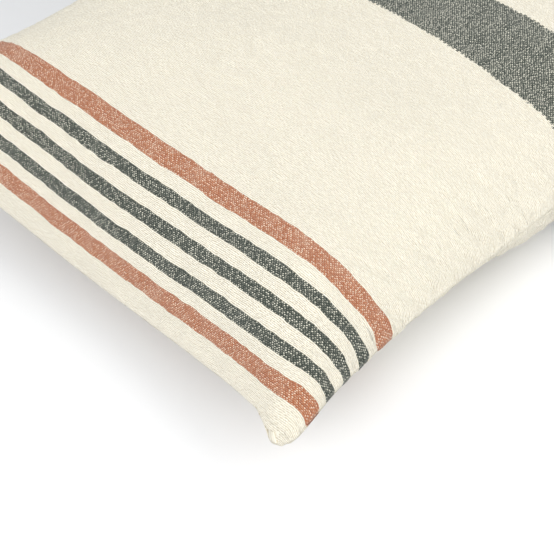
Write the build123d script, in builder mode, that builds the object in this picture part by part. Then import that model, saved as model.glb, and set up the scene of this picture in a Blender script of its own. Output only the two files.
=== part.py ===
"""Square throw pillow: a woven two-panel cover with a concealed zip in one edge seam, over a
separate insert (ticking shell and filling).

It lies on its back panel. Z = 0 is the face it rests on and the seam runs round at half thickness.
The zip is in the +Y edge and its slider closes towards +X. The front and back halves are mirror
images in the seam plane. Units are millimetres.
"""
import os
from math import cos, pi, sin

from build123d import *

os.makedirs("parts", exist_ok=True)

# ---------------------------------------------------------------- driving dimensions

# The filled cover
THICKNESS = 140.0            # crown to crown, at the middle
SEAM_Z = THICKNESS / 2       # the seam runs round at half thickness
HALF_MID = 221.0             # centre to seam, at the middle of a plain side
HALF_CORNER = 241.0          # centre to seam, at a corner (the sides pull in between corners)
HALF_ZIP = 226.0             # centre to seam on the zip side, which stays straight
ZIP_STRAIGHT = 196.0         # half the length of the zip side that is dead straight
ZIP_EAR = 2.5                # how much further its two corners stand out, before rounding
CORNER_RADIUS = 9.0
CROWN_INSET = 118.0          # how far in from the seam the crown levels out
CROWN_RADIUS = 62.0          # corner radius of the level area
CROWN_STEPS = 6              # bands that make up the crowned side

CLOTH = 1.0                  # woven cover cloth
ALLOWANCE = 10.0             # seam allowance, turned inwards
PLY_GAP = 0.05               # half the space between two plies at the seam

# The zip
ZIP_LENGTH = 360.0           # bottom stop to top stops
OPENING_LENGTH = 372.0       # slit in the seam
SLIT = 1.6                   # width of the slit, for the slider's bridge
TAPE_WIDTH = 10.0
TAPE = 0.5
TAPE_FACE_Y = HALF_ZIP - 3.9 # outer face of the tapes
COIL_WIDTH = 1.7             # one coil half, across the chain
COIL_DEPTH = 1.6
CHAIN_GAP = 1.8              # between the coil halves, where the slider's divider runs
HEM_Y = (HALF_ZIP - 3.6, HALF_ZIP - 0.5)     # turned-in hem of each panel, in front of the tape
HEM_Z = (4.0, 12.0)
THREAD = 0.3
SEAM_STITCH = 1.6            # seam line to the thread that runs just inside it
HEM_END = 2.0                # each hem runs this far past the slit
TAPE_END = 4.0               # each tape runs this far past the stops
ZIP_STITCH = 8.0             # slit to the stitching on each tape
STOP = 2.4                   # length of the zip's end stops
STOP_ROUNDING = 0.3

SLIDER_LENGTH = 8.0
SLIDER_WIDTH = 6.8
SLIDER_X = 168.0             # where the slider stands when the zip is closed
SLIDER_PLATE = 1.2
FRONT_PLATE_Y = HALF_ZIP - 3.4   # inner face of the slider's outer plate
BACK_PLATE_Y = HALF_ZIP - 6.5    # inner face of the slider's inner plate
BRIDGE = 1.0                 # thickness of the bridge, through the slit
DIVIDER = 1.0
LIP = 0.5
LIP_DEPTH = 1.7
PLATE_ROUNDING = 0.8
DIVIDER_X = (SLIDER_X + 1.0, SLIDER_X + 3.6)
PULL_AXIS_Y = HALF_ZIP + 1.9
PULL_BAR_RADIUS = 0.6
PULL_CLEARANCE = 0.05
PULL_LENGTH = 24.0
PULL_WIDTH = 5.0
PULL_WINDOW = 4.6            # window in the pull, from its axis
WINDOW_SIDE = 0.5            # space between the window and the bridge, each side

# The insert
INSERT_INSET = 15.0          # insert seam to cover seam
INSERT_GAP = 0.4             # insert crown to cover crown
TICKING = 0.4
INSERT_ALLOWANCE = 6.0
FILLING_GAP = 0.3

# The care label
LABEL_WIDTH = 30.0
LABEL_LENGTH = 26.0
LABEL = 0.4
LABEL_LEAN = 7.0             # how far its top leans in from its foot
LABEL_FOOT_X = 3.0 - HALF_MID
LABEL_BEND_X = 11.5 - HALF_MID


# ---------------------------------------------------------------- shared shapes

def pillow_outline(inset, radius):
    """Face bounded by the seam line moved in by inset: three curved sides and the straight zip side."""
    mid = HALF_MID - inset
    corner = HALF_CORNER - inset
    zip_side = HALF_ZIP - inset
    ear = corner + ZIP_EAR
    straight = ZIP_STRAIGHT * (1 - inset / (CROWN_INSET + ALLOWANCE))
    with BuildSketch() as outline:
        with BuildLine():
            ThreePointArc((corner, ear), (mid, 0), (corner, -corner))
            ThreePointArc((corner, -corner), (0, -mid), (-corner, -corner))
            ThreePointArc((-corner, -corner), (-mid, 0), (-corner, ear))
            Line((-corner, ear), (-straight, zip_side))
            Line((-straight, zip_side), (straight, zip_side))
            Line((straight, zip_side), (corner, ear))
        make_face()
        corners = [v for v in vertices() if abs(abs(v.X) - corner) < 0.01]
        fillet(corners, radius)
    return outline.sketch


def crown(base_inset, height, side):
    """Half pillow on the seam plane: ruled bands that follow a quarter ellipse, side +1 up or -1 down."""
    with BuildPart() as half:
        for step in range(CROWN_STEPS + 1):
            turn = step / CROWN_STEPS * pi / 2
            inset = base_inset + (CROWN_INSET - base_inset) * (1 - cos(turn))
            radius = CORNER_RADIUS + (CROWN_RADIUS - CORNER_RADIUS) * (1 - cos(turn))
            with BuildSketch(Plane.XY.offset(SEAM_Z + side * height * sin(turn))):
                add(pillow_outline(inset, radius))
        loft(ruled=True)
    return half.part


def seam_ring(outer_inset, inner_inset, start, amount):
    """Flat ring that follows the seam, from the plane Z = start by amount."""
    with BuildPart() as ring:
        with BuildSketch(Plane.XY.offset(start)):
            add(pillow_outline(outer_inset, CORNER_RADIUS))
            add(pillow_outline(inner_inset, CORNER_RADIUS), mode=Mode.SUBTRACT)
        extrude(amount=amount)
    return ring.part


def block(low, high):
    """Box between two corners, each (x, y, z)."""
    size = [b - a for a, b in zip(low, high)]
    centre = [(a + b) / 2 for a, b in zip(low, high)]
    with BuildPart() as box:
        with Locations(tuple(centre)):
            Box(*size)
    return box.part


def zip_strip(y_range, z_range, x_half, side):
    """Straight strip along the zip, with z_range measured from the seam plane towards side."""
    z_low, z_high = sorted(SEAM_Z + side * z for z in z_range)
    return block((-x_half, y_range[0], z_low), (x_half, y_range[1], z_high))


# ---------------------------------------------------------------- cover panels

def cover_panel(side):
    """One woven panel: crowned shell, seam allowance turned in, and the slit edge and hem for the zip."""
    outside = crown(0, THICKNESS / 2, side)
    with BuildPart() as hem:
        add(zip_strip(HEM_Y, HEM_Z, OPENING_LENGTH / 2 + HEM_END, side))
        add(outside, mode=Mode.INTERSECT)
    with BuildPart() as panel:
        add(outside)
        add(crown(CLOTH, THICKNESS / 2 - CLOTH, side), mode=Mode.SUBTRACT)
        add(seam_ring(0, ALLOWANCE + CLOTH, SEAM_Z, side * (CLOTH + PLY_GAP)))
        # the zip side has no flat allowance: the panel edges stand apart there, their hems turned in
        half = OPENING_LENGTH / 2
        add(zip_strip((HALF_ZIP - 30, HALF_ZIP - CLOTH), (0, 2 * CLOTH), half, side), mode=Mode.SUBTRACT)
        add(zip_strip((HALF_ZIP - 3, HALF_ZIP + 3), (0, SLIT / 2), half, side), mode=Mode.SUBTRACT)
        add(seam_ring(-1, HALF_CORNER / 2, SEAM_Z, side * PLY_GAP), mode=Mode.SUBTRACT)
        add(hem.part)
    return panel.part


with BuildPart() as front_panel:
    add(cover_panel(1))
front_panel.part.label = "front_panel"
export_step(front_panel.part, "parts/front_panel.step")

with BuildPart() as back_panel:
    add(cover_panel(-1))
back_panel.part.label = "back_panel"
export_step(back_panel.part, "parts/back_panel.step")

# The lockstitch that closes the cover: its needle thread lies on the front allowance and its bobbin
# thread on the back one. It stops at the ends of the zip opening.
with BuildPart() as cover_seam_thread:
    for side in (1, -1):
        add(seam_ring(SEAM_STITCH, SEAM_STITCH + THREAD, SEAM_Z + side * (CLOTH + PLY_GAP), side * THREAD))
    add(block((-OPENING_LENGTH / 2, HALF_ZIP - 20, SEAM_Z - 5), (OPENING_LENGTH / 2, HALF_ZIP, SEAM_Z + 5)),
        mode=Mode.SUBTRACT)
cover_seam_thread.part.label = "cover_seam_thread"
export_step(cover_seam_thread.part, "parts/cover_seam_thread.step")

# ---------------------------------------------------------------- zip


def zip_tape(side):
    """One woven tape: its inner edge carries the coil and its outer edge is sewn to the panel's hem."""
    y_range = (TAPE_FACE_Y - TAPE, TAPE_FACE_Y)
    return zip_strip(y_range, (CHAIN_GAP / 2, CHAIN_GAP / 2 + TAPE_WIDTH), ZIP_LENGTH / 2 + TAPE_END, side)


def zip_coil(side):
    """One half of the coil chain, as a bar with rounded edges on the inner face of its tape."""
    y_range = (TAPE_FACE_Y - TAPE - COIL_DEPTH, TAPE_FACE_Y - TAPE)
    with BuildPart() as coil:
        add(zip_strip(y_range, (CHAIN_GAP / 2, CHAIN_GAP / 2 + COIL_WIDTH), ZIP_LENGTH / 2 - STOP, side))
        fillet(coil.edges().filter_by(Axis.X).group_by(Axis.Y)[0], COIL_WIDTH / 4)
    return coil.part


def zip_stop(x_range, z_range):
    """Crimped stop that wraps the coil edge: a block with its four long edges rounded."""
    with BuildPart() as stop:
        add(block((x_range[0], TAPE_FACE_Y - TAPE - COIL_DEPTH, z_range[0]),
                  (x_range[1], TAPE_FACE_Y - TAPE, z_range[1])))
        fillet(stop.edges().filter_by(Axis.X), STOP_ROUNDING)
    return stop.part


with BuildPart() as zip_tape_front:
    add(zip_tape(1))
zip_tape_front.part.label = "zip_tape_front"
export_step(zip_tape_front.part, "parts/zip_tape_front.step")

with BuildPart() as zip_tape_back:
    add(zip_tape(-1))
zip_tape_back.part.label = "zip_tape_back"
export_step(zip_tape_back.part, "parts/zip_tape_back.step")

with BuildPart() as zip_coil_front:
    add(zip_coil(1))
zip_coil_front.part.label = "zip_coil_front"
export_step(zip_coil_front.part, "parts/zip_coil_front.step")

with BuildPart() as zip_coil_back:
    add(zip_coil(-1))
zip_coil_back.part.label = "zip_coil_back"
export_step(zip_coil_back.part, "parts/zip_coil_back.step")

# Two top stops, one on each tape, at the closed end
STOP_INNER = CHAIN_GAP / 2
STOP_OUTER = CHAIN_GAP / 2 + COIL_WIDTH
with BuildPart() as zip_top_stops:
    for side in (1, -1):
        z_range = sorted((SEAM_Z + side * STOP_INNER, SEAM_Z + side * STOP_OUTER))
        add(zip_stop((ZIP_LENGTH / 2 - STOP, ZIP_LENGTH / 2), z_range))
zip_top_stops.part.label = "zip_top_stops"
export_step(zip_top_stops.part, "parts/zip_top_stops.step")

# One bottom stop, across both coil halves, at the open end
with BuildPart() as zip_bottom_stop:
    add(zip_stop((-ZIP_LENGTH / 2, STOP - ZIP_LENGTH / 2), (SEAM_Z - STOP_OUTER, SEAM_Z + STOP_OUTER)))
zip_bottom_stop.part.label = "zip_bottom_stop"
export_step(zip_bottom_stop.part, "parts/zip_bottom_stop.step")

# The two rows of stitching that hold the tapes to the panel hems
with BuildPart() as zip_stitching:
    for side in (1, -1):
        y_range = (TAPE_FACE_Y - TAPE - THREAD, TAPE_FACE_Y - TAPE)
        add(zip_strip(y_range, (ZIP_STITCH, ZIP_STITCH + THREAD), ZIP_LENGTH / 2 + TAPE_END - 1, side))
zip_stitching.part.label = "zip_stitching"
export_step(zip_stitching.part, "parts/zip_stitching.step")

# ---------------------------------------------------------------- slider and pull

SLIDER_LOW = SLIDER_X - SLIDER_LENGTH / 2
SLIDER_HIGH = SLIDER_X + SLIDER_LENGTH / 2


def slider_plate(y_low):
    """Plate of the slider, broad at its mouth (+X, where the chain parts) and narrower at its tail."""
    half = SLIDER_WIDTH / 2
    with BuildPart() as plate:
        with BuildSketch(Plane.XZ.offset(-y_low)):
            with BuildLine():
                Polyline((SLIDER_LOW, SEAM_Z - half * 0.8), (SLIDER_X, SEAM_Z - half),
                         (SLIDER_HIGH, SEAM_Z - half), (SLIDER_HIGH, SEAM_Z + half),
                         (SLIDER_X, SEAM_Z + half), (SLIDER_LOW, SEAM_Z + half * 0.8), close=True)
            make_face()
            fillet(vertices(), PLATE_ROUNDING)
        extrude(amount=-SLIDER_PLATE)
    return plate.part


# Two plates round the chain, joined by the divider between the coil halves, with lips along their
# edges. The bridge goes out through the slit and carries the pull.
with BuildPart() as zip_slider:
    add(slider_plate(FRONT_PLATE_Y))
    add(slider_plate(BACK_PLATE_Y - SLIDER_PLATE))
    add(block((DIVIDER_X[0], BACK_PLATE_Y - 0.2, SEAM_Z - DIVIDER / 2),
              (DIVIDER_X[1], FRONT_PLATE_Y + 0.2, SEAM_Z + DIVIDER / 2)))
    for side in (1, -1):
        lip_z = sorted((SEAM_Z + side * (SLIDER_WIDTH / 2 - LIP), SEAM_Z + side * SLIDER_WIDTH / 2))
        add(block((SLIDER_X, BACK_PLATE_Y - 0.2, lip_z[0]),
                  (SLIDER_HIGH - PLATE_ROUNDING, BACK_PLATE_Y + LIP_DEPTH, lip_z[1])))
    with BuildSketch(Plane.XY.offset(SEAM_Z - BRIDGE / 2)):
        with BuildLine():
            Polyline((SLIDER_X - 3, FRONT_PLATE_Y + 0.4), (SLIDER_X + 3, FRONT_PLATE_Y + 0.4),
                     (SLIDER_X + 1.5, PULL_AXIS_Y + 1.5), (SLIDER_X - 1.5, PULL_AXIS_Y + 1.5), close=True)
        make_face()
        fillet([v for v in vertices() if v.Y > PULL_AXIS_Y], 1.2)
        with Locations((SLIDER_X, PULL_AXIS_Y)):
            Circle(PULL_BAR_RADIUS + PULL_CLEARANCE, mode=Mode.SUBTRACT)
    extrude(amount=BRIDGE)
zip_slider.part.label = "zip_slider"
export_step(zip_slider.part, "parts/zip_slider.step")

# The pull: a flat tab that lies back over the closed zip, with a window round the bridge and a round
# bar, the end of its frame, through the hole in the bridge.
with BuildPart() as zip_pull_tab:
    with BuildSketch(Plane.XZ.offset(-PULL_AXIS_Y + PULL_BAR_RADIUS)):
        with Locations((SLIDER_X - PULL_LENGTH / 2, SEAM_Z)):
            Rectangle(PULL_LENGTH, PULL_WIDTH)
        fillet([v for v in vertices() if v.X < SLIDER_X - 1], PULL_WIDTH * 0.4)
        with Locations((SLIDER_X - PULL_WINDOW / 2, SEAM_Z)):
            Rectangle(PULL_WINDOW, BRIDGE + 2 * WINDOW_SIDE, mode=Mode.SUBTRACT)
        with Locations((SLIDER_X - PULL_LENGTH + PULL_WIDTH * 0.55, SEAM_Z)):
            Circle(PULL_WIDTH * 0.24, mode=Mode.SUBTRACT)
    extrude(amount=-2 * PULL_BAR_RADIUS)
    with BuildSketch(Plane.XY.offset(SEAM_Z - PULL_WIDTH / 2)):
        with Locations((SLIDER_X, PULL_AXIS_Y)):
            Circle(PULL_BAR_RADIUS)
    extrude(amount=PULL_WIDTH)
zip_pull_tab.part.label = "zip_pull_tab"
export_step(zip_pull_tab.part, "parts/zip_pull_tab.step")

# ---------------------------------------------------------------- insert

INSERT_HEIGHT = THICKNESS / 2 - CLOTH - INSERT_GAP


def ticking_half(side):
    """One half of the insert's ticking shell, with its own allowance turned in."""
    start = SEAM_Z + side * PLY_GAP
    with BuildPart() as half:
        add(crown(INSERT_INSET, INSERT_HEIGHT, side))
        add(crown(INSERT_INSET + TICKING, INSERT_HEIGHT - TICKING, side), mode=Mode.SUBTRACT)
        add(seam_ring(INSERT_INSET, INSERT_INSET + INSERT_ALLOWANCE, SEAM_Z, side * (TICKING + PLY_GAP)))
        add(seam_ring(INSERT_INSET - 1, HALF_CORNER / 2, SEAM_Z, start - SEAM_Z), mode=Mode.SUBTRACT)
    return half.part


with BuildPart() as insert_front_ticking:
    add(ticking_half(1))
insert_front_ticking.part.label = "insert_front_ticking"
export_step(insert_front_ticking.part, "parts/insert_front_ticking.step")

with BuildPart() as insert_back_ticking:
    add(ticking_half(-1))
insert_back_ticking.part.label = "insert_back_ticking"
export_step(insert_back_ticking.part, "parts/insert_back_ticking.step")

with BuildPart() as insert_seam_thread:
    for side in (1, -1):
        start = SEAM_Z + side * (TICKING + PLY_GAP)
        inset = INSERT_INSET + SEAM_STITCH
        add(seam_ring(inset, inset + THREAD, start, side * THREAD))
insert_seam_thread.part.label = "insert_seam_thread"
export_step(insert_seam_thread.part, "parts/insert_seam_thread.step")

# The loose filling, as one closed crowned body clear of the ticking's allowance
with BuildPart() as insert_filling:
    for side in (1, -1):
        add(crown(INSERT_INSET + INSERT_ALLOWANCE + 1, INSERT_HEIGHT - TICKING - FILLING_GAP, side))
insert_filling.part.label = "insert_filling"
export_step(insert_filling.part, "parts/insert_filling.step")

# ---------------------------------------------------------------- care label

# A blank label sewn on the allowance of the -X seam: a short foot, then a leaf that leans inwards in
# the space between cover and insert.
LABEL_Z = SEAM_Z + CLOTH + PLY_GAP + THREAD + 0.1
with BuildPart() as care_label:
    with BuildSketch(Plane.XZ.offset(LABEL_WIDTH / 2)):
        with BuildLine():
            Polyline((LABEL_FOOT_X, LABEL_Z), (LABEL_BEND_X, LABEL_Z),
                     (LABEL_BEND_X + LABEL_LEAN, LABEL_Z + LABEL_LENGTH),
                     (LABEL_BEND_X + LABEL_LEAN - LABEL, LABEL_Z + LABEL_LENGTH),
                     (LABEL_BEND_X - LABEL, LABEL_Z + LABEL), (LABEL_FOOT_X, LABEL_Z + LABEL), close=True)
        make_face()
    extrude(amount=-LABEL_WIDTH)
care_label.part.label = "care_label"
export_step(care_label.part, "parts/care_label.step")
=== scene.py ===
"""Throw pillow: cover, zip and insert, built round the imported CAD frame.

The pillow lies on its back panel. Its shape is worked out on square grids of cloth: a crowned
shape fitted to the photo, a cloth simulation that only roughens it (see simulate), then the seam,
the zip edge and the puckers. Grid index i runs along the stripes (+X) and j across them (+Y,
towards the zip). Everything is in metres.
"""

import math
from types import SimpleNamespace

import bmesh
import bpy
import numpy as np
from mathutils import Matrix, Vector


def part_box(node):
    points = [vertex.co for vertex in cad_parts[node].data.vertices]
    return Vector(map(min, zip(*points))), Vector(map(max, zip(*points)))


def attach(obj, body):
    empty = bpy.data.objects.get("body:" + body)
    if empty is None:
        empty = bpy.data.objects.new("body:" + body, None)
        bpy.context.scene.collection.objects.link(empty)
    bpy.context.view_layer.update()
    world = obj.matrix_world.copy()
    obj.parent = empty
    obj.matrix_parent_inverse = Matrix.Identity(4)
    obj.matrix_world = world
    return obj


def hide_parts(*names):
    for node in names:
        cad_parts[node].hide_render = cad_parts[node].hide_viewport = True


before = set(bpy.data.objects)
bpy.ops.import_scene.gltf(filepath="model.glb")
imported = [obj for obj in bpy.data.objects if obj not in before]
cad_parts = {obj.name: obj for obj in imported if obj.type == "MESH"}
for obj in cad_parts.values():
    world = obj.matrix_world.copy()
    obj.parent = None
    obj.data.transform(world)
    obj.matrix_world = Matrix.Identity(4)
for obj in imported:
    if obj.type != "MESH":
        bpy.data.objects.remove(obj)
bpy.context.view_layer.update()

# ---------------------------------------------------------------- sizes from the frame

front_low, front_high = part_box("front_panel")
back_low, back_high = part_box("back_panel")
FLOOR_Z = back_low.z
SEAM_Z = (front_low.z + back_high.z) / 2
CORNER_ROUNDING = 0.002                      # the CAD corner is rounded by this much
HALF_CORNER = front_high.x + CORNER_ROUNDING
tape_low, tape_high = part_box("zip_tape_front")
WALL_OVER_TAPE = 0.0039                      # from the tape's face out to the cover's zip edge
ZIP_Y = tape_high.y + WALL_OVER_TAPE
ZIP_HALF = 0.186                             # half the slit
SLIT = 0.0016                                # how far the cover parts over the zip

# ---------------------------------------------------------------- driving sizes

SIDE = 0.500                                 # the cover, seam to seam, laid flat
CLOTH = 0.0009
TICKING = 0.0004

CROWN = 0.067                                # crown above the seam, before the dome
BELLY = 0.080                                # belly below the seam, before the floor flattens it
PULL_IN_ENDS = 0.025                         # how far the two end sides pull in
PULL_IN_NEAR = 0.026                         # and the side by the narrow stripes
ENDS_POWER, NEAR_POWER = 3.2, 2.8            # how suddenly the sides turn out to the corners
END_ROUND, END_FALL = 5.3, 0.66              # crown profile towards the end sides
CROSS_ROUND, CROSS_FALL = 10.0, 1.05         # crown profile across the stripes
ZIP_FALL = 0.6                               # and towards the zip, where the tapes hold the wall up
UNDER_ROUND, UNDER_FALL = 4.0, 1.15          # the back tucks under from the seam more gently
DOME = 0.16                                  # how much the crown drops off before the edges
NEAR_SAG = 0.028                             # the near seam hangs this much below the corners
CORNER_LIFT = 0.009

EAR_LENGTH, EAR_BLUNT = 0.095, 0.0140        # the corners' length, and the rounding of their tips
BLUNT_POWER = 6                              # how squarely a tip is cut off
SIDE_PINCH = 0.03                            # narrowing between the ear and the near or zip side
EAR_REACH, REACH_LENGTH = 0.0065, 0.045      # how far out the tips are turned, and over what length
EAR_LEAN = {(1, -1): (-0.0040, -0.0045, -0.0040), (1, 1): (0.0020, -0.0010, -0.0020),
            (-1, -1): (0.0010, 0.0015, -0.0030), (-1, 1): (-0.0015, 0.0010, 0.0010)}
GRID = 88                                    # cells of the simulated cloth, along each side
ALLOWANCE = 0.0095                           # cloth turned in along the seams
FINE = 190                                   # cells of the finished panel, along each side


def smooth_step(x):
    x = np.clip(x, 0, 1)
    return x * x * (3 - 2 * x)


def wander(x, y, wavelength, seed, waves=7):
    """Smooth seeded noise, about -1 to 1, with roughly one hump per wavelength."""
    rng = np.random.default_rng(seed)
    total = np.zeros(np.broadcast(x, y).shape)
    for _ in range(waves):
        turn = rng.uniform(0, math.tau)
        pitch = wavelength * rng.uniform(0.7, 1.5)
        phase = rng.uniform(0, math.tau)
        total = total + np.sin(math.tau * (x * math.cos(turn) + y * math.sin(turn)) / pitch + phase)
    return total / math.sqrt(waves)


# ---------------------------------------------------------------- the cloth grids

def crowned_start(side):
    """Dense grid over one face of the pillow: side +1 is the front, -1 the back."""
    edge = np.linspace(0, 1, 61) ** 1.7 * 0.5
    t = np.concatenate([edge, 1 - edge[-2::-1]])
    a, b = np.meshgrid(2 * t - 1, 2 * t - 1, indexing="ij")
    aa, bb = np.abs(a), np.abs(b)
    x = a * (HALF_CORNER - PULL_IN_ENDS * (1 - bb ** ENDS_POWER))
    near = PULL_IN_NEAR * (1 - aa ** NEAR_POWER)
    straight = (HALF_CORNER - ZIP_Y) * (1 - smooth_step((aa - 0.82) / 0.18))
    y = b * (HALF_CORNER - np.where(b > 0, smooth_step((b - 0.2) / 0.8) * straight
                                    + (1 - smooth_step((b - 0.2) / 0.8)) * near, near))
    profile = np.clip(1 - aa ** END_ROUND, 0, 1) ** END_FALL
    fall = CROSS_FALL + (ZIP_FALL - CROSS_FALL) * smooth_step(b)
    profile = profile * np.clip(1 - bb ** CROSS_ROUND, 0, 1) ** fall
    if side < 0:
        towards_zip, fuller = smooth_step(b), smooth_step((b + 0.40) / 0.6)
        fall = UNDER_FALL + (ZIP_FALL - UNDER_FALL) * towards_zip
        power = UNDER_ROUND + (CROSS_ROUND - UNDER_ROUND) * towards_zip
        end_fall = UNDER_FALL + (END_FALL - UNDER_FALL) * fuller
        end_power = UNDER_ROUND + (END_ROUND - UNDER_ROUND) * fuller
        profile = np.clip(1 - aa ** end_power, 0, 1) ** end_fall * np.clip(1 - bb ** power, 0, 1) ** fall
    crown = 1 + DOME * ((1 - a * a) * (1 - b * b) - 1)
    sag = np.where(b < 0, -NEAR_SAG * bb ** 2 * (1 - a * a) + CORNER_LIFT * (aa * bb) ** 2, 0)
    height = CROWN if side > 0 else BELLY
    return np.stack([x, y, SEAM_Z + sag + side * height * profile * crown], -1)


def eared(points):
    """Narrows and blunts the four corners, as the turned-out corners of a filled cover are."""
    x, y, z = (points[..., c].copy() for c in range(3))
    for (sx, sy), lean in EAR_LEAN.items():
        out = (sx * x + sy * y) / math.sqrt(2)
        across = (sx * x - sy * y) / math.sqrt(2)
        from_tip = HALF_CORNER * math.sqrt(2) - out
        near = smooth_step(1 - from_tip / EAR_LENGTH)
        neck = 4 * near * (1 - near) * (across < 0)
        across = across * (1 - SIDE_PINCH * neck)
        blunt = (np.maximum(from_tip, 0) ** BLUNT_POWER + EAR_BLUNT ** BLUNT_POWER) ** (1 / BLUNT_POWER)
        tip = smooth_step(1 - from_tip / REACH_LENGTH)
        out = HALF_CORNER * math.sqrt(2) - from_tip + tip * (from_tip - blunt + EAR_REACH)
        x = sx * (out + across) / math.sqrt(2) + tip * lean[0]
        y = sy * (out - across) / math.sqrt(2) + tip * lean[1]
        z = z + tip * lean[2]
    return np.stack([x, y, z], -1)


def even_out(grid, count, rounds=4):
    """Resample a grid so that its points are evenly spaced along the cloth both ways."""
    for _ in range(rounds):
        for axis in (0, 1):
            lines = np.moveaxis(grid, axis, 0)
            step = np.linalg.norm(np.diff(lines, axis=0), axis=-1)
            run = np.concatenate([np.zeros((1, lines.shape[1])), np.cumsum(step, 0)])
            run = run / run[-1]
            want = np.linspace(0, 1, count + 1)
            out = np.empty((count + 1, lines.shape[1], 3))
            for k in range(lines.shape[1]):
                for c in range(3):
                    out[:, k, c] = np.interp(want, run[:, k], lines[:, k, c])
            grid = np.moveaxis(out, 0, axis)
    return grid


CLOTH_FRAMES = 36
HOLD_INSIDE, HOLD_SEAM, HOLD_ZIP = 0.10, 0.35, 1.0      # how firmly the cloth is held to its start


def closed_cloth(front, back):
    """Both grids as one closed object, with the number of each grid point in it."""
    n = GRID
    index = np.arange((n + 1) ** 2).reshape(n + 1, n + 1)
    inner = np.zeros((n + 1, n + 1), bool)
    inner[1:-1, 1:-1] = True
    under = index.copy()
    under[inner] = (n + 1) ** 2 + np.arange(inner.sum())
    points = np.concatenate([front.reshape(-1, 3), back[inner]])
    quads = []
    for i in range(n):
        for j in range(n):
            quads.append([index[i, j], index[i + 1, j], index[i + 1, j + 1], index[i, j + 1]])
            turned = [under[i, j + 1], under[i + 1, j + 1], under[i + 1, j], under[i, j]]
            if set(turned) != set(quads[-1]):
                quads.append(turned)
    mesh = bpy.data.meshes.new("cloth_shape")
    mesh.from_pydata(points.tolist(), [], [[int(v) for v in q] for q in quads])
    cloth = bpy.data.objects.new("cloth_shape", mesh)
    bpy.context.scene.collection.objects.link(cloth)
    return cloth, index, under, inner


def hold_to_start(cloth, index, under, inner):
    """Pin group: loose inside the panels, firmer at the seams, fixed at the zip."""
    hold = cloth.vertex_groups.new(name="hold")
    weights = np.where(inner, HOLD_INSIDE, HOLD_SEAM)
    weights[:, -1] = HOLD_ZIP
    for value in np.unique(weights):
        chosen = np.where(weights == value)
        hold.add([int(v) for v in index[chosen]] + [int(v) for v in under[chosen]], float(value), "REPLACE")


def add_cloth(cloth, volume):
    modifier = cloth.modifiers.new("cloth", "CLOTH")
    s = modifier.settings
    s.quality = 6
    s.mass = 0.01                            # so light that the pins jitter, see simulate
    s.air_damping = 4
    s.tension_stiffness = 20
    s.compression_stiffness = 20
    s.shear_stiffness = 6
    s.bending_stiffness = 0.4
    s.tension_damping = s.compression_damping = s.shear_damping = 10
    s.bending_damping = 1
    s.use_pressure = True
    s.uniform_pressure_force = 0
    s.use_pressure_volume = True
    s.target_volume = volume
    s.pressure_factor = 30
    s.vertex_group_mass = "hold"
    s.pin_stiffness = 0.6
    s.effector_weights.gravity = 0
    modifier.collision_settings.use_collision = False
    modifier.collision_settings.use_self_collision = False
    modifier.point_cache.frame_start = 1
    modifier.point_cache.frame_end = CLOTH_FRAMES


def simulate(front, back):
    """Blender's cloth, held to the crowned shape, with a fixed volume of filling.

    It does not settle the cloth. The springs are at rest in the starting shape, gravity is off and
    the volume is already right, so nothing pulls. What moves the cloth is the pins' numerical
    jitter at this low mass: about 0.7 mm on average, 2.4 mm at most, the same on each run. It
    leaves the panels slightly uneven. The shape is the crowned one.
    """
    cloth, index, under, inner = closed_cloth(front, back)
    hold_to_start(cloth, index, under, inner)
    add_cloth(cloth, shape_volume(front) - shape_volume(back))
    scene = bpy.context.scene
    scene.frame_start, scene.frame_end = 1, CLOTH_FRAMES
    for f in range(1, CLOTH_FRAMES + 1):
        scene.frame_set(f)
    settled = cloth.evaluated_get(bpy.context.evaluated_depsgraph_get())
    co = np.array([v.co for v in settled.data.vertices])
    scene.frame_set(1)
    bpy.data.objects.remove(cloth)
    return co[index], co[under]


def shape_volume(grid):
    """Signed volume between a grid and the origin; front less back is the filling's."""
    a, b, c, d = grid[:-1, :-1], grid[1:, :-1], grid[1:, 1:], grid[:-1, 1:]
    return (np.einsum("ijk,ijk->", a, np.cross(b, c)) + np.einsum("ijk,ijk->", a, np.cross(c, d))) / 6


def rest_on_floor(grid):
    """Flatten softly where the belly meets the floor."""
    soft = 0.004                             # the height over which it does
    z = grid[..., 2] - FLOOR_Z
    grid = grid.copy()
    grid[..., 2] = FLOOR_Z + np.where(z > soft, z, np.where(z < -soft, 0, (z + soft) ** 2 / (4 * soft)))
    return grid


def sample(grid, u, v):
    """Catmull-Rom value of a grid at the fractions u, v of its two directions."""
    n = grid.shape[0] - 1
    padded = np.pad(grid, ((1, 1), (1, 1), (0, 0)), mode="reflect", reflect_type="odd")

    def taps(f):
        f = np.clip(f, 0, 1) * n
        base = np.minimum(f.astype(int), n - 1)
        t = f - base
        weights = ((-t + 2 * t ** 2 - t ** 3) / 2, (2 - 5 * t ** 2 + 3 * t ** 3) / 2,
                   (t + 4 * t ** 2 - 3 * t ** 3) / 2, (t ** 3 - t ** 2) / 2)
        return base, weights

    iu, wu = taps(u)
    jv, wv = taps(v)
    total = 0
    for p in range(4):
        for q in range(4):
            total = total + padded[iu + p, jv + q] * (wu[p] * wv[q])[..., None]
    return total


def normals(grid):
    du, dv = np.gradient(grid, axis=0), np.gradient(grid, axis=1)
    n = np.cross(du, dv)
    return n / np.maximum(np.linalg.norm(n, axis=-1, keepdims=True), 1e-12)


start_front = eared(even_out(crowned_start(1), GRID))
start_back = eared(even_out(crowned_start(-1), GRID))
seam = np.zeros((GRID + 1, GRID + 1), bool)
seam[[0, -1], :] = seam[:, [0, -1]] = True
start_back[seam] = start_front[seam]
front_grid, back_grid = simulate(start_front, start_back)
front_grid, back_grid = rest_on_floor(front_grid), rest_on_floor(back_grid)

# ---------------------------------------------------------------- meshes from grids

WELD = 1e-7


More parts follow.
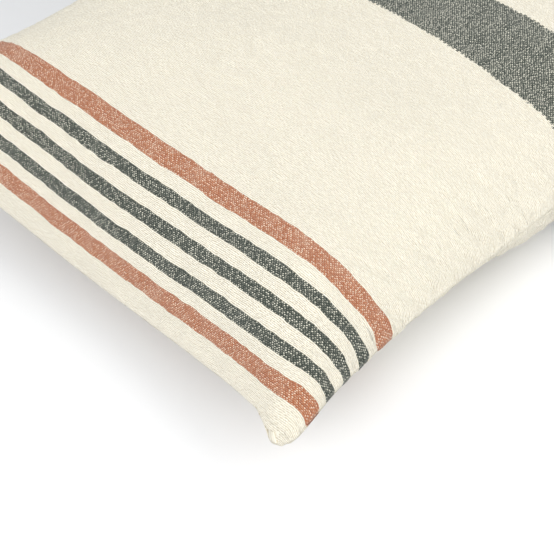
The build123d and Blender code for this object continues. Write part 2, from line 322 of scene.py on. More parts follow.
def spaced(count, fine, ramp_cells):
    """Fractions 0 to 1, in smaller steps near both ends."""
    ramp = np.minimum(np.arange(count // 2) / ramp_cells, 1)
    half = np.concatenate([[0], np.cumsum(fine + (1 - fine) * smooth_step(ramp))])
    half = half / half[-1] / 2
    return np.concatenate([half, 1 - half[-2::-1]])


def grid_faces(rows, columns, offset, flip):
    faces = []
    for i in range(rows - 1):
        for j in range(columns - 1):
            a = offset + i * columns + j
            quad = [a, a + columns, a + columns + 1, a + 1]
            faces.append(quad[::-1] if flip else quad)
    return faces


def mesh_of_grids(name, grids):
    """One mesh from grids, each (points, cloth coordinates, flip). Shared edges are welded."""
    points, coords, faces = [], [], []
    offset = 0
    for grid, cloth, flip in grids:
        points.append(grid.reshape(-1, 3))
        coords.append(cloth.reshape(-1, 2))
        faces.extend(grid_faces(*grid.shape[:2], offset, flip))
        offset += len(points[-1])
    mesh = bpy.data.meshes.new(name)
    mesh.from_pydata(np.concatenate(points).tolist(), [], faces)
    loops = np.zeros(len(mesh.loops), int)
    mesh.loops.foreach_get("vertex_index", loops)
    layer = mesh.uv_layers.new(name="cloth")
    layer.data.foreach_set("uv", np.concatenate(coords)[loops].ravel())
    shape = bmesh.new()
    shape.from_mesh(mesh)
    bmesh.ops.remove_doubles(shape, verts=shape.verts, dist=WELD)
    shape.to_mesh(mesh)
    shape.free()
    return mesh


def new_piece(name, mesh, material):
    """A smooth piece that rides the cover's body."""
    piece = bpy.data.objects.new(name, mesh)
    bpy.context.scene.collection.objects.link(piece)
    mesh.materials.append(material)
    mesh.polygons.foreach_set("use_smooth", [True] * len(mesh.polygons))
    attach(piece, "cover")
    return piece


def thicken(piece, thickness):
    """Gives a sheet its thickness, on the side away from its outer face."""
    solid = piece.modifiers.new("thickness", "SOLIDIFY")
    solid.thickness = thickness
    solid.offset = -1
    solid.use_even_offset = False
    with bpy.context.temp_override(object=piece, active_object=piece):
        bpy.ops.object.modifier_apply(modifier=solid.name)


def tube_mesh(name, runs, radius, sides=6):
    """Round yarn or wire along several runs of points, with rounded-off ends."""
    around = np.arange(sides) * math.tau / sides
    points, faces = [], []
    offset = 0
    for run in runs:
        run = np.asarray(run, float)
        along = np.gradient(run, axis=0)
        along = along / np.maximum(np.linalg.norm(along, axis=1, keepdims=True), 1e-12)
        guide = np.array([0.0, 0.0, 1.0]) if abs(along[0][2]) < 0.8 else np.array([1.0, 0.0, 0.0])
        across = np.cross(along, guide)
        across = across / np.maximum(np.linalg.norm(across, axis=1, keepdims=True), 1e-9)
        up = np.cross(across, along)
        size = np.full(len(run), radius)
        size[[0, -1]] = radius * 0.55
        ring = (run[:, None] + size[:, None, None] * (across[:, None] * np.cos(around)[None, :, None]
                                                      + up[:, None] * np.sin(around)[None, :, None]))
        points.append(ring.reshape(-1, 3))
        for i in range(len(run) - 1):
            for k in range(sides):
                a, b = offset + i * sides + k, offset + i * sides + (k + 1) % sides
                faces.append([a, b, b + sides, a + sides])
        faces.append([offset + k for k in reversed(range(sides))])
        faces.append([offset + (len(run) - 1) * sides + k for k in range(sides)])
        offset += len(run) * sides
    mesh = bpy.data.meshes.new(name)
    mesh.from_pydata(np.concatenate(points).tolist(), [], faces)
    return mesh


# ---------------------------------------------------------------- materials

class Nodes:
    """A material under construction: each call adds one node and returns its output."""

    def __init__(self, name):
        self.material = bpy.data.materials.new(name)
        self.material.use_nodes = True
        self.tree = self.material.node_tree
        self.shader = self.tree.nodes["Principled BSDF"]

    def put(self, socket, value):
        if isinstance(value, bpy.types.NodeSocket):
            self.tree.links.new(value, socket)
        elif socket.type == "RGBA":
            socket.default_value = (*value, 1) if len(value) == 3 else value
        else:
            socket.default_value = value

    def node(self, kind, inputs=(), **settings):
        made = self.tree.nodes.new(kind)
        for key, value in settings.items():
            setattr(made, key, value)
        for key, value in dict(inputs).items():
            self.put(made.inputs[key], value)
        return made

    def math(self, operation, *values, clamp=False):
        inputs = dict(enumerate(values))
        return self.node("ShaderNodeMath", inputs, operation=operation, use_clamp=clamp).outputs[0]

    def ramp(self, value, low, high, to_low=0.0, to_high=1.0):
        inputs = {0: value, 1: low, 2: high, 3: to_low, 4: to_high}
        return self.node("ShaderNodeMapRange", inputs, interpolation_type="SMOOTHSTEP").outputs[0]

    def vector(self, x, y, z=0.0):
        return self.node("ShaderNodeCombineXYZ", {0: x, 1: y, 2: z}).outputs[0]

    def noise(self, vector, scale, detail=2.0, roughness=0.5):
        inputs = {"Vector": vector, "Scale": scale, "Detail": detail, "Roughness": roughness}
        return self.node("ShaderNodeTexNoise", inputs).outputs["Fac"]

    def random(self, vector):
        return self.node("ShaderNodeTexWhiteNoise", {"Vector": vector}).outputs["Value"]

    def mix(self, factor, a, b):
        made = self.node("ShaderNodeMix", data_type="RGBA")
        self.put(made.inputs["Factor"], factor)
        self.put(made.inputs[6], a)
        self.put(made.inputs[7], b)
        return made.outputs[2]

    def shade(self, color, factor):
        return self.node("ShaderNodeVectorMath", {0: color, 1: self.vector(factor, factor, factor)},
                         operation="MULTIPLY").outputs[0]

    def bump(self, height, distance, strength=1.0):
        inputs = {"Height": height, "Distance": distance, "Strength": strength}
        return self.node("ShaderNodeBump", inputs).outputs[0]

    def finish(self, **inputs):
        for key, value in inputs.items():
            self.put(self.shader.inputs[key.replace("_", " ")], value)
        return self.material


def screen(r, g, b):
    """Linear colour from the 0 to 255 values seen on a screen."""
    return tuple((c / 255 / 12.92) if c < 10.3 else ((c / 255 + 0.055) / 1.055) ** 2.4 for c in (r, g, b))


DOT_PITCH = 0.00215                          # between crossings, along a weft pair
ROW = 0.00115                                # between weft pairs
NARROW_BANDS = (("clay", 0.0193, 0.0320), ("green", 0.0415, 0.0506), ("green", 0.0609, 0.0700),
                ("green", 0.0806, 0.0898), ("clay", 0.1002, 0.1150))
WIDE_BAND = ("wide", 0.3135, 0.3785)
DRIFT, JOG = 0.0030, 0.0019                  # slow and quick wander of the weft
BOW = (0.0050, -0.0035)                      # the weft's offset before and after it bows
SKEW = -0.0070                               # and at the end seam, beside the near seam

# The gap colours are painted shade: they darken the valleys between weft rows, where the bump is low. The
# other colours are the yarns' own.
CREAM, CREAM_DEEP = screen(247, 242, 226), screen(240, 233, 214)
CREAM_GAP_SHADE, CREAM_LIGHT = screen(198, 184, 154), screen(253, 250, 239)
GREEN, GREEN_DEEP = screen(74, 81, 73), screen(48, 57, 50)
GREEN_GAP_SHADE, GREEN_FLECK = screen(24, 30, 26), screen(232, 229, 211)
CLAY, CLAY_DEEP = screen(196, 134, 98), screen(168, 100, 65)
CLAY_GAP_SHADE, CLAY_FLECK = screen(108, 46, 30), screen(250, 228, 204)


def cloth_axes(n):
    """Cloth coordinates in metres: along the weft, and across it from the near seam."""
    uv = n.node("ShaderNodeUVMap", uv_map="cloth").outputs[0]
    split = n.node("ShaderNodeSeparateXYZ", {0: uv})
    return split.outputs[0], split.outputs[1]


def weave_cells(n):
    """Where a point lies in the weave: weft pairs are rows, and their crossings are columns."""
    along, raw_across = cloth_axes(n)
    across = n.math("FRACT", raw_across)
    place = n.vector(along, raw_across)
    drift = n.math("MULTIPLY", n.math("SUBTRACT", n.noise(place, 16, 2), 0.5), DRIFT)
    jog = n.math("MULTIPLY", n.math("SUBTRACT", n.noise(place, 95, 1), 0.5), JOG)
    bow = n.math("MULTIPLY", n.ramp(along, 0.385, 0.455, *BOW), n.ramp(across, 0.20, 0.30))
    skew = n.math("MULTIPLY", n.ramp(along, 0.455, 0.50, 0.0, SKEW), n.ramp(across, 0.015, 0.060, 1.0, 0.0))
    moved = across
    for shift in (drift, jog, bow, skew):
        moved = n.math("ADD", moved, shift)
    row_value = n.math("DIVIDE", moved, ROW)
    row = n.math("FLOOR", row_value)
    parity = n.math("MULTIPLY", n.math("MODULO", row, 2.0), 0.5)
    wobble = n.math("MULTIPLY", n.noise(place, 260, 1), 0.5)
    column_value = n.math("ADD", n.math("DIVIDE", along, DOT_PITCH), n.math("ADD", parity, wobble))
    column = n.math("FLOOR", column_value)
    chance = n.random(n.vector(column, row))
    other = n.random(n.vector(row, column, 5.0))
    cell_x = n.math("SUBTRACT", n.math("FRACT", column_value), 0.5)
    cell_y = n.math("SUBTRACT", n.math("FRACT", row_value), 0.5)
    cell_x = n.math("ADD", cell_x, n.ramp(other, 0, 1, -0.14, 0.14))
    cell_y = n.math("ADD", cell_y, n.ramp(chance, 0, 1, -0.10, 0.10))
    spread = n.node("ShaderNodeVectorMath", {0: n.vector(cell_x, n.math("MULTIPLY", cell_y, 0.75))},
                    operation="LENGTH").outputs["Value"]
    return SimpleNamespace(
        along=along, across=across, raw_across=raw_across, place=place, row=row, column=column,
        cell_y=cell_y, chance=chance, other=other,
        crossing=n.ramp(spread, 0.12, 0.38, 1.0, 0.0),
        # gap marks the edges of each weft row, where the yarn colours are darkened as painted shade
        gap=n.ramp(n.math("ABSOLUTE", cell_y), 0.28, 0.5),
        streak=n.noise(n.vector(n.math("MULTIPLY", along, 700), n.math("MULTIPLY", across, 30)), 1, 2),
        slub=n.noise(n.vector(n.math("MULTIPLY", along, 420), n.math("MULTIPLY", across, 900)), 1, 2),
        cloudy=n.noise(place, 38, 3, 0.6))


def end_creases(n, w):
    """Short creases close to the two end seams; they dent the bump, and cream_yarn darkens the cream along
    them as painted shade.
    """
    folds = n.noise(n.vector(n.math("MULTIPLY", w.along, 22), n.math("MULTIPLY", w.raw_across, 95)), 1, 1)
    line = n.ramp(n.math("ABSOLUTE", n.math("SUBTRACT", folds, 0.52)), 0.0, 0.05, 1.0, 0.0)
    from_middle = n.math("ABSOLUTE", n.math("SUBTRACT", w.along, SIDE / 2))
    from_end = n.math("SUBTRACT", SIDE / 2, from_middle)
    by_seam = n.math("MULTIPLY", n.ramp(from_end, 0.008, 0.075, 1.0, 0.0), n.ramp(w.cloudy, 0.44, 0.58))
    return n.math("MULTIPLY", line, by_seam)


def cream_yarn(n, w, fold):
    light = n.math("MULTIPLY", n.ramp(w.slub, 0.3, 0.7), n.ramp(w.other, 0, 1, 0.5, 1.2))
    cream = n.mix(light, CREAM_DEEP, CREAM)
    # painted shade in the valleys between weft rows
    cream = n.mix(n.math("MULTIPLY", w.gap, 0.85), cream, CREAM_GAP_SHADE)
    shown = n.math("MULTIPLY", w.crossing, n.ramp(w.chance, 0.0, 1.0, 0.1, 0.7))
    cream = n.mix(shown, cream, CREAM_LIGHT)
    cream = n.shade(cream, n.ramp(n.noise(w.place, 850, 1), 0.3, 0.7, 0.93, 1.03))
    cream = n.shade(cream, n.ramp(w.other, 0.0, 1.0, 0.96, 1.01))
    cream = n.shade(cream, n.ramp(w.cloudy, 0.3, 0.75, 0.985, 1.0))
    # painted shade along the end creases: the cream is darkened by up to 5 % there
    return n.shade(cream, n.ramp(fold, 0.0, 1.0, 1.0, 0.95))


def dyed_yarn(n, w, deep, color, gap_shade_color, gap_shade_share, fleck_color):
    """Weft of one colour, with the cream warp showing as flecks at the crossings and painted shade in the
    gaps between weft rows.
    """
    yarn = n.mix(n.ramp(w.slub, 0.3, 0.75), deep, color)
    # painted shade in the valleys between weft rows
    yarn = n.mix(n.math("MULTIPLY", w.gap, gap_shade_share), yarn, gap_shade_color)
    fleck = n.math("MULTIPLY", w.crossing, n.ramp(w.chance, 0.15, 1.0, 0.14, 1.0))
    return n.mix(fleck, yarn, fleck_color)


def stripes(n, wanted, where):
    """1 inside the bands of the wanted colour."""
    total = 0.0
    for color, low, high in (*NARROW_BANDS, WIDE_BAND):
        if color == wanted:
            inside = n.math("COMPARE", where, (low + high) / 2, (high - low) / 2)
            total = n.math("ADD", total, inside)
    return total


def woven_cover():
    """Basket-like linen and cotton weave, with weft stripes crossed by a cream warp."""
    n = Nodes("striped_linen")
    w = weave_cells(n)
    fold = end_creases(n, w)
    cream = cream_yarn(n, w, fold)
    green = dyed_yarn(n, w, GREEN_DEEP, GREEN, GREEN_GAP_SHADE, 0.7, GREEN_FLECK)
    green = n.mix(n.ramp(w.streak, 0.55, 0.8, 0, 0.12), green, GREEN_FLECK)
    wide = n.mix(n.math("MULTIPLY", n.ramp(w.streak, 0.3, 0.7, 0.0, 0.5), w.crossing), green, GREEN_FLECK)
    clay = dyed_yarn(n, w, CLAY_DEEP, CLAY, CLAY_GAP_SHADE, 0.75, CLAY_FLECK)
    clay = n.mix(n.ramp(w.cloudy, 0.5, 0.75, 0, 0.10), clay, CLAY_FLECK)

    uneven = n.math("MULTIPLY", n.math("SUBTRACT", w.other, 0.5), 0.5)
    whole_row = n.math("MULTIPLY", n.math("ADD", n.math("ADD", w.row, 0.5), uneven), ROW)
    toothed = n.math("ADD", whole_row, n.math("MULTIPLY", n.math("MODULO", w.column, 2.0), 0.9 * ROW))
    color = n.mix(stripes(n, "green", whole_row), cream, green)
    color = n.mix(stripes(n, "wide", toothed), color, wide)
    color = n.mix(stripes(n, "clay", whole_row), color, clay)

    height = n.math("COSINE", n.math("MULTIPLY", w.cell_y, math.pi))
    for part, share in ((w.crossing, 1.2), (w.slub, 0.5), (w.chance, 0.7)):
        height = n.math("ADD", height, n.math("MULTIPLY", part, share))
    relief = n.bump(n.math("SUBTRACT", height, n.math("MULTIPLY", fold, 4.0)), 0.00040, 0.85)
    return n.finish(Base_Color=color, Roughness=0.92, Sheen_Weight=0.18, Sheen_Roughness=0.45,
                    Specular_IOR_Level=0.18, Normal=relief)


def plain_weave(name, color, shadow, pitch, depth):
    """Fine plain weave for ticking, tape and label."""
    n = Nodes(name)
    along, across = cloth_axes(n)
    warp = n.math("SINE", n.math("MULTIPLY", along, math.tau / pitch))
    weft = n.math("SINE", n.math("MULTIPLY", across, math.tau / pitch))
    checks = n.math("MULTIPLY", warp, weft)
    spots = n.noise(n.vector(along, across), 60, 3)
    tone = n.mix(n.ramp(checks, -0.9, 0.6), shadow, color)
    tone = n.shade(tone, n.ramp(spots, 0.3, 0.7, 0.94, 1.0))
    return n.finish(Base_Color=tone, Roughness=0.85, Sheen_Weight=0.2, Normal=n.bump(checks, depth, 0.7))


def spun(name, color, groove_shade, twist):
    """Twisted sewing thread or monofilament, darker in the grooves of the twist as painted shade."""
    n = Nodes(name)
    where = n.node("ShaderNodeTexCoord").outputs["Object"]
    split = n.node("ShaderNodeSeparateXYZ", {0: where})
    lean = n.math("ADD", n.math("ADD", split.outputs[0], split.outputs[1]), split.outputs[2])
    wave = n.math("SINE", n.math("MULTIPLY", lean, math.tau / twist))
    # painted shade: the colour darkens where the bump's grooves are
    tone = n.mix(n.ramp(wave, -1.0, 0.4), groove_shade, color)
    return n.finish(Base_Color=tone, Roughness=0.6, Sheen_Weight=0.1, Normal=n.bump(wave, 0.00006, 0.6))


def plated_metal():
    """Satin nickel plate, with fine brushing and rubbed spots."""
    n = Nodes("satin_nickel")
    where = n.node("ShaderNodeTexCoord").outputs["Object"]
    drawn_out = n.node("ShaderNodeMapping", {"Vector": where, "Scale": (300, 9000, 9000)}).outputs[0]
    brushed = n.noise(drawn_out, 1, 3)
    rubbed = n.noise(where, 260, 4)
    tone = n.mix(n.ramp(rubbed, 0.4, 0.7), (0.42, 0.40, 0.37), (0.62, 0.60, 0.57))
    rough = n.ramp(n.math("ADD", brushed, rubbed), 0.7, 1.3, 0.24, 0.46)
    return n.finish(Base_Color=tone, Metallic=1.0, Roughness=rough, Normal=n.bump(brushed, 0.00002, 0.35))


def fibre_fill():
    """Loose white fibre, in tufts, greyer between them as painted shade."""
    n = Nodes("hollow_fibre")
    where = n.node("ShaderNodeTexCoord").outputs["Object"]
    tufts = n.noise(where, 45, 6, 0.7)
    drawn_out = n.node("ShaderNodeMapping", {"Vector": where, "Scale": (90, 900, 300)}).outputs[0]
    strands = n.noise(drawn_out, 1, 4)
    # painted shade: greyer where the tufts' bump is low
    tone = n.mix(n.ramp(tufts, 0.3, 0.7), (0.78, 0.78, 0.76), (0.93, 0.93, 0.92))
    height = n.math("ADD", tufts, n.math("MULTIPLY", strands, 0.4))
    return n.finish(Base_Color=tone, Roughness=0.95, Sheen_Weight=0.4, Normal=n.bump(height, 0.004, 0.7))


cover_cloth = woven_cover()
ticking_cloth = plain_weave("cotton_ticking", screen(240, 238, 231), screen(214, 211, 202), 0.0007, 0.00008)
tape_cloth = plain_weave("zip_tape_weave", screen(236, 229, 208), screen(200, 190, 166), 0.0008, 0.00010)
label_cloth = plain_weave("satin_label", screen(247, 246, 242), screen(228, 227, 222), 0.0005, 0.00004)
cover_thread = spun("cream_thread", screen(240, 233, 214), screen(206, 196, 172), 0.0006)
nylon = spun("coil_nylon", screen(238, 231, 212), screen(222, 213, 192), 0.0020)
metal = plated_metal()
fibres = fibre_fill()


# ---------------------------------------------------------------- cover

CREASE = 0.0014                              # the seam is drawn in by this much
CREASE_WIDTH = 0.0014
THREAD, FINE_THREAD = 0.00028, 0.00024       # radii
FOLD = (0.0, 0.0007, 0.0018, 0.0055, ALLOWANCE)          # the allowance's rows, inwards
# The same rows at the zip, as (behind the edge, up the wall).
ZIP_FOLD = ((0.0, 0.0), (0.0009, -0.0001), (0.0019, 0.0004), (0.0020, 0.0050), (0.0020, 0.0098))
END_GATHER, END_WAVE, END_REACH = 0.0034, 0.026, 0.044   # height, wavelength and reach
NEAR_GATHER, NEAR_WAVE, NEAR_REACH = 0.0016, 0.034, 0.026
DENT, DENT_WAVE = 0.0012, 0.15
BACK_CLOTH = 3.0                             # the back panel's own place in cloth coordinates


def gathers(along, off, wavelength, reach, seed):
    """Puffs with narrow valleys between them, square to a seam and dying out away from it."""
    valleys = np.exp(-(wander(along, 0.4 * off, wavelength, seed) / 0.50) ** 2)
    uneven = 0.75 + 0.35 * wander(along, off, 0.11, seed + 1)
    return (0.55 - valleys) * uneven * np.exp(-off / reach) * smooth_step(off / 0.005)


def from_edge(u, v):
    """Cloth distance from the nearest edge."""
    return np.minimum(np.minimum(u, 1 - u), np.minimum(v, 1 - v)) * SIDE


def dents(u, v, side):
    """Slow rise and fall of the cloth where the filling is uneven."""
    inside = smooth_step(from_edge(u, v) / 0.06)
    return DENT * wander(u * SIDE, v * SIDE, DENT_WAVE, 24 + side) * inside


def puckers(points, u, v, side):
    """Gathers along the sewn seams, over the dents."""
    to_end, to_near, to_zip = np.minimum(u, 1 - u) * SIDE, v * SIDE, (1 - v) * SIDE
    ends = gathers(v * SIDE + 0.30 * to_end, to_end, END_WAVE, END_REACH, 11 + 4 * side)
    near = gathers(u * SIDE - 0.20 * to_near, to_near, NEAR_WAVE, NEAR_REACH, 12 + 4 * side)
    calm = smooth_step(to_zip / 0.05)
    rise = calm * (END_GATHER * ends + NEAR_GATHER * near) + dents(u, v, side)
    return points + normals(points) * rise[..., None]


def along_zip(x):
    """1 over the slit, falling to 0 just beyond its ends."""
    return 1 - smooth_step((np.abs(x) - ZIP_HALF) / 0.010)


def shrink(points, amount):
    """Moves points in plan towards the middle, by the given amount at the edge."""
    scale = 1 - amount / HALF_CORNER
    return points * np.stack([scale, scale, np.ones_like(scale)], -1)


def crease(points, u, v, side):
    """Draws the edges in at the seam; over the slit they part, and stay against the zip instead."""
    points = shrink(points, CREASE * np.exp(-(from_edge(u, v) / CREASE_WIDTH) ** 1.5))
    x, y, z = points[..., 0], points[..., 1], points[..., 2]
    at_zip = along_zip(x) * (v > 0.5)
    off = (1 - v) * SIDE
    wall = ZIP_Y - 0.10 * np.abs(z - SEAM_Z)
    near_wall = at_zip * (1 - smooth_step((off - 0.010) / 0.012))
    y = y + near_wall * (np.maximum(y, wall) - y)
    part = side * SLIT / 2 * at_zip * np.exp(-off / 0.004)
    z = np.where(v == 1, SEAM_Z * at_zip + z * (1 - at_zip), z) + part
    return np.stack([x, y, z], -1)


def round_the_edge(field):
    """The four edges of a field as one closed run."""
    return np.concatenate([field[0, ::-1], field[1:, 0], field[-1, 1:], field[-2::-1, -1]])


def turned_in(edge, side):
    """The allowance: turned inwards at the sewn seams, folded flat behind the wall at the zip."""
    at_zip = (along_zip(edge[:, 0]) * (edge[:, 1] > ZIP_Y - 0.012))[:, None]
    rows = []
    for inwards, (back, up) in zip(FOLD, ZIP_FOLD):
        sewn = shrink(edge, np.full(len(edge), inwards)) + np.array([0, 0, side * min(inwards, 0.0004)])
        folded = edge + np.array([0, -back, side * up])
        rows.append(sewn * (1 - at_zip) + folded * at_zip)
    return np.stack(rows)


def cover_panel(name, grid, side, cloth_shift):
    """One panel with its allowance and thickness, and the field of points it was made from."""
    s = spaced(FINE, 0.25, 12)
    u, v = np.meshgrid(s, s, indexing="ij")
    field = rest_on_floor(crease(puckers(sample(grid, u, v), u, v, side), u, v, side))
    cloth = np.stack([u, v], -1) * SIDE
    edge, edge_cloth = round_the_edge(field), round_the_edge(cloth)
    turned = turned_in(edge, side)
    centre = SIDE / 2
    turned_cloth = np.stack([centre + (edge_cloth - centre) * (1 + d / centre) for d in FOLD])
    turned_cloth[..., 1] = np.clip(turned_cloth[..., 1], 0, 0.999)
    grids = [(field, cloth + cloth_shift, side < 0), (turned, turned_cloth + cloth_shift, side < 0)]
    piece = new_piece(name, mesh_of_grids(name, grids), cover_cloth)
    thicken(piece, CLOTH)
    return piece, field


front_panel, front_field = cover_panel("cover_front", front_grid, 1, 0.0)
back_panel, back_field = cover_panel("cover_back", back_grid, -1, BACK_CLOTH)
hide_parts("front_panel")
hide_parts("back_panel")


def stitches(run, length, gap, dip):
    """Short stitches along a run of points, each sinking at its ends."""
    step = np.linalg.norm(np.diff(run, axis=0), axis=1)
    at = np.concatenate([[0], np.cumsum(step)])
    runs = []
    start = gap
    while start + length < at[-1]:
        where = np.linspace(start, start + length, 5)
        points = np.stack([np.interp(where, at, run[:, c]) for c in range(3)], -1)
        points = points + np.outer([1, 0.15, 0, 0.15, 1], dip)
        runs.append(points)
        start += length + gap
    return runs


def sewn_run(field):
    """The seam line of the three plain sides, just inside the crease."""
    edge = np.concatenate([field[0, ::-1], field[1:, 0], field[-1, 1:]])
    return shrink(edge, np.full(len(edge), 0.0022))


seam_runs = stitches(sewn_run(front_field), 0.0026, 0.0006, (0, 0, 0.0004))
seam_mesh = tube_mesh("cover_seam_stitches", seam_runs, THREAD)
seam_piece = new_piece("cover_seam_stitches", seam_mesh, cover_thread)
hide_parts("cover_seam_thread")


# ---------------------------------------------------------------- insert

INSERT_MARGIN = 0.030                        # cloth distance from the cover's seam to the insert's
INSERT_GAP = 0.0032                          # from the cover to the ticking
FILL_GAP = 0.0010                            # from the ticking to the fibre
FILL_INSET = 0.004                           # the fibre stops this far inside the insert's seam
FILL_LUMPS = 0.0006


def inner_half(side, count, margin, depth, lumps):
    """A grid inside one face of the cover, meeting its partner at a seam of its own."""
    t = margin / SIDE + np.linspace(0, 1, count + 1) * (1 - 2 * margin / SIDE)
    u, v = np.meshgrid(t, t, indexing="ij")
    front, back = sample(front_grid, u, v), sample(back_grid, u, v)
    middle = (front + back) / 2
    own = front if side > 0 else back
    own = own + normals(own) * (dents(u, v, side) - side * depth)[..., None]
    rim = from_edge(u, v) - margin
    swell = 1 - np.clip(1 - rim / 0.045, 0, 1) ** 2.2
    points = middle + (own - middle) * swell[..., None]
    if lumps:
        rough = lumps * (wander(u * SIDE, v * SIDE, 0.045, 41 + side) - 1.4)
        points[..., 2] += side * rough * smooth_step(rim / 0.05)
    return points, np.stack([u, v], -1) * SIDE


def insert_half(name, side, node):
    points, cloth = inner_half(side, 96, INSERT_MARGIN, INSERT_GAP, 0)
    piece = new_piece(name, mesh_of_grids(name, [(points, cloth, side < 0)]), ticking_cloth)
    thicken(piece, TICKING)
    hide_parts(node)
    return points


insert_front = insert_half("insert_front", 1, "insert_front_ticking")
insert_half("insert_back", -1, "insert_back_ticking")

insert_edge = round_the_edge(insert_front)
insert_runs = stitches(insert_edge, 0.0030, 0.0009, (0, 0, 0.0002))
insert_seam_mesh = tube_mesh("insert_seam_stitches", insert_runs, FINE_THREAD)
insert_seam = new_piece("insert_seam_stitches", insert_seam_mesh, cover_thread)
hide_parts("insert_seam_thread")

filling_grids = []
for half in (1, -1):
    filled, filled_cloth = inner_half(half, 80, INSERT_MARGIN + FILL_INSET,
                                      INSERT_GAP + TICKING + FILL_GAP, FILL_LUMPS)
    filling_grids.append((filled, filled_cloth, half < 0))
filling = new_piece("filling_fibre", mesh_of_grids("filling_fibre", filling_grids), fibres)
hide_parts("insert_filling")


# ---------------------------------------------------------------- zip

TAPE = 0.0005
COIL_PITCH = 0.0012
COIL_WIRE = 0.00028                          # radius
TAPE_STEP = 0.0014                           # how far the tape steps out to the allowance


def zip_tape(name, side, node):
    """A woven tape: flat beside the coil, then stepping out to lie against the turned-in allowance."""
    inner_z = tape_low.z - SEAM_Z
    face_y = tape_high.y
    section = [(inner_z, 0.0), (0.0032, 0.0), (0.0040, 0.0005), (0.0048, 0.0012), (0.0056, TAPE_STEP),
               (tape_high.z - SEAM_Z, TAPE_STEP)]
    run = np.array(section)
    fine = np.linspace(0, 1, 25)
    at = np.linspace(0, 1, len(run))
    rise = np.interp(fine, at, run[:, 0])
    out = np.interp(fine, at, run[:, 1])
    x = np.linspace(tape_low.x, tape_high.x, 300)
    grid_x, grid_z = np.meshgrid(x, rise, indexing="ij")
    ripple = 0.00008 * wander(grid_x, grid_z, 0.018, 61 + side)
    points = np.stack([grid_x, face_y + out[None, :] + ripple, SEAM_Z + side * grid_z], -1)
    cloth = np.stack([grid_x, grid_z], -1)
    piece = new_piece(name, mesh_of_grids(name, [(points, cloth, side > 0)]), tape_cloth)
    thicken(piece, TAPE)
    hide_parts(node)


def zip_coil(name, side, node):
    """Nylon helix sewn along the tape's edge."""
    low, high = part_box(node)
    middle = (low + high) / 2
    turns = (high.x - low.x - 2 * COIL_WIRE) / COIL_PITCH
    angle = np.arange(int(turns * 10)) * math.tau / 10
    x = low.x + COIL_WIRE + angle / math.tau * COIL_PITCH
    y = middle.y + ((high.y - low.y) / 2 - COIL_WIRE) * np.cos(angle)
    z = middle.z + ((high.z - low.z) / 2 - COIL_WIRE) * np.sin(angle) * side
    mesh = tube_mesh(name, [np.stack([x, y, z], -1)], COIL_WIRE, 5)
    piece = new_piece(name, mesh, nylon)
    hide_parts(node)


zip_tape("zip_tape_upper", 1, "zip_tape_front")
zip_tape("zip_tape_lower", -1, "zip_tape_back")
zip_coil("zip_coil_upper", 1, "zip_coil_front")
zip_coil("zip_coil_lower", -1, "zip_coil_back")

stitch_low, stitch_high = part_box("zip_stitching")
zip_runs = []
for stitch_z in (stitch_low.z + 0.0003, stitch_high.z - 0.0003):
    line = np.array([[x, tape_high.y + 0.0007, stitch_z] for x in (stitch_low.x, stitch_high.x)])
    zip_runs += stitches(line, 0.0026, 0.0008, (0, 0.0004, 0))
zip_thread_mesh = tube_mesh("zip_stitches", zip_runs, FINE_THREAD)
zip_thread = new_piece("zip_stitches", zip_thread_mesh, cover_thread)
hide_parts("zip_stitching")

for node, width in (("zip_slider", 0.00022), ("zip_pull_tab", 0.00016), ("zip_top_stops", 0.00025),
                    ("zip_bottom_stop", 0.00025)):
    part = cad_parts[node]
    part.data.materials.clear()
    part.data.materials.append(metal)
    bevel = part.modifiers.new("bevel", "BEVEL")
    bevel.width = width
    bevel.segments = 2
    bevel.limit_method = "ANGLE"


# ---------------------------------------------------------------- label

label_low, label_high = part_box("care_label")
LABEL_LENGTH = 0.056                         # before it is folded in half
LABEL_THICKNESS = 0.0002


def folded_label():
    """A blank satin loop, sewn into the end seam and lying between the cover and the insert."""
    steps = 24
    half = LABEL_LENGTH / 2
    y = np.linspace(label_low.y, label_high.y, steps + 1)
    away, yy = np.meshgrid(0.004 + np.linspace(0, half, steps + 1), y, indexing="ij")
    u, v = away / SIDE, 0.5 + yy / SIDE
    cover = puckers(sample(front_grid, u, v), u, v, 1)
    inwards = -normals(cover)
    turn = np.arange(-steps, steps + 1)
    there_and_back = steps - np.abs(turn)
    layer = smooth_step((turn / steps + 0.04) / 0.08)[:, None]
    depth = CLOTH + 0.0004 + 0.0006 * layer + 0.0001 * wander(away, yy, 0.012, 71)[there_and_back]
    points = cover[there_and_back] + inwards[there_and_back] * depth[..., None]
    run = np.broadcast_to((turn / steps * half)[:, None], depth.shape)
    return points, np.stack([run, np.broadcast_to(y, depth.shape)], -1)


label_points, label_coords = folded_label()
label_mesh = mesh_of_grids("care_label_satin", [(label_points, label_coords, False)])
label = new_piece("care_label_satin", label_mesh, label_cloth)
thicken(label, LABEL_THICKNESS)
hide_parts("care_label")


# ---------------------------------------------------------------- floor, light and camera

def glow(name, location, target, size, energy, color):
    """A round soft light that faces a point."""
    light = bpy.data.lights.new(name, "AREA")
    light.shape = "DISK"
    light.size = size
    light.energy = energy
    light.color = color
    lamp = bpy.data.objects.new(name, light)
    lamp.location = location
    lamp.rotation_euler = (Vector(target) - Vector(location)).to_track_quat("-Z", "Y").to_euler()
    bpy.context.scene.collection.objects.link(lamp)


ROOM_LIGHT = 0.98
# The floor's tone carries painted light: darker away from the camera and towards the left as painted shade,
# brighter towards the right as painted light that lifts the shade beside the pillow's right side.
FLOOR_AWAY_SHADE, FLOOR_ACROSS_SHADE_AND_LIGHT = 0.72, (0.925, 1.06)          # the floor's shade, as in the photo
FLOOR_DROP = 0.0002                          # below the cover


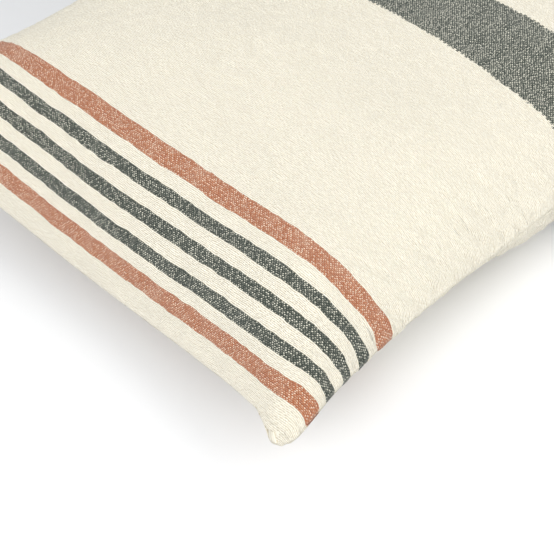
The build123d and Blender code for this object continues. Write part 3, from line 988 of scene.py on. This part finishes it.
def studio_floor():
    """A pale floor, with painted shade darker away from the camera and towards the left of its view, and
    painted light brighter towards the right.
    """
    n = Nodes("pale_floor")
    where = n.node("ShaderNodeTexCoord").outputs["Object"]
    soft = n.noise(where, 2.0, 2)
    tone = n.mix(n.ramp(soft, 0.3, 0.7), (0.855, 0.86, 0.87), (0.875, 0.88, 0.89))
    split = n.node("ShaderNodeSeparateXYZ", {0: where})
    away = n.math("SUBTRACT", split.outputs[1], split.outputs[0])
    # painted shade: darker away from the camera
    tone = n.shade(tone, n.ramp(away, -0.1, 0.5, 1.0, FLOOR_AWAY_SHADE))
    right = n.math("ADD", split.outputs[0], split.outputs[1])
    # painted shade towards the left and painted light towards the right
    tone = n.shade(tone, n.ramp(right, -0.4, 0.35, *FLOOR_ACROSS_SHADE_AND_LIGHT))
    material = n.finish(Base_Color=tone, Roughness=0.7, Specular_IOR_Level=0.1)
    size, cells = 6.0, 24
    x, y = np.meshgrid(np.linspace(-size, size, cells), np.linspace(-size, size, cells), indexing="ij")
    grid = np.stack([x, y, np.full_like(x, FLOOR_Z - FLOOR_DROP)], -1)
    mesh = mesh_of_grids("studio_floor", [(grid, np.stack([x, y], -1), False)])
    floor = bpy.data.objects.new("studio_floor", mesh)
    mesh.materials.append(material)
    bpy.context.scene.collection.objects.link(floor)


studio_floor()

world = bpy.data.worlds.new("soft_room")
world.use_nodes = True
world.node_tree.nodes["Background"].inputs["Color"].default_value = (0.97, 0.985, 1.0, 1)
world.node_tree.nodes["Background"].inputs["Strength"].default_value = ROOM_LIGHT
bpy.context.scene.world = world

glow("key_soft", (1.0, 0.6, 1.3), (0.05, -0.05, 0.05), 1.4, 12, (1.0, 0.985, 0.96))
glow("front_fill", (0.35, -1.4, 1.1), (0, 0, 0.05), 1.4, 12.5, (1.0, 0.99, 0.98))

VIEW_AZIMUTH, VIEW_ELEVATION, VIEW_ROLL = 50.735, 45.04, -5.96
VIEW_DISTANCE, VIEW_AIM = 1.032, (0.122, -0.141)
FOCAL_LENGTH, SENSOR = 99.8, 36.0


def photo_camera():
    """Looks at VIEW_AIM on the seam's height, turned about its axis by the roll."""
    azimuth, elevation = math.radians(VIEW_AZIMUTH), math.radians(VIEW_ELEVATION)
    back = Vector((math.sin(azimuth) * math.cos(elevation), -math.cos(azimuth) * math.cos(elevation),
                   math.sin(elevation)))
    aim = Vector((*VIEW_AIM, SEAM_Z))
    lens = bpy.data.cameras.new("camera")
    lens.lens = FOCAL_LENGTH
    lens.sensor_width = SENSOR
    lens.clip_end = 50
    camera = bpy.data.objects.new("camera", lens)
    bpy.context.scene.collection.objects.link(camera)
    turn = (-back).to_track_quat("-Z", "Y").to_matrix().to_4x4()
    camera.matrix_world = turn @ Matrix.Rotation(math.radians(VIEW_ROLL), 4, "Z")
    camera.location = aim + back * VIEW_DISTANCE
    bpy.context.scene.camera = camera


photo_camera()
bpy.context.scene.view_settings.view_transform = "Standard"
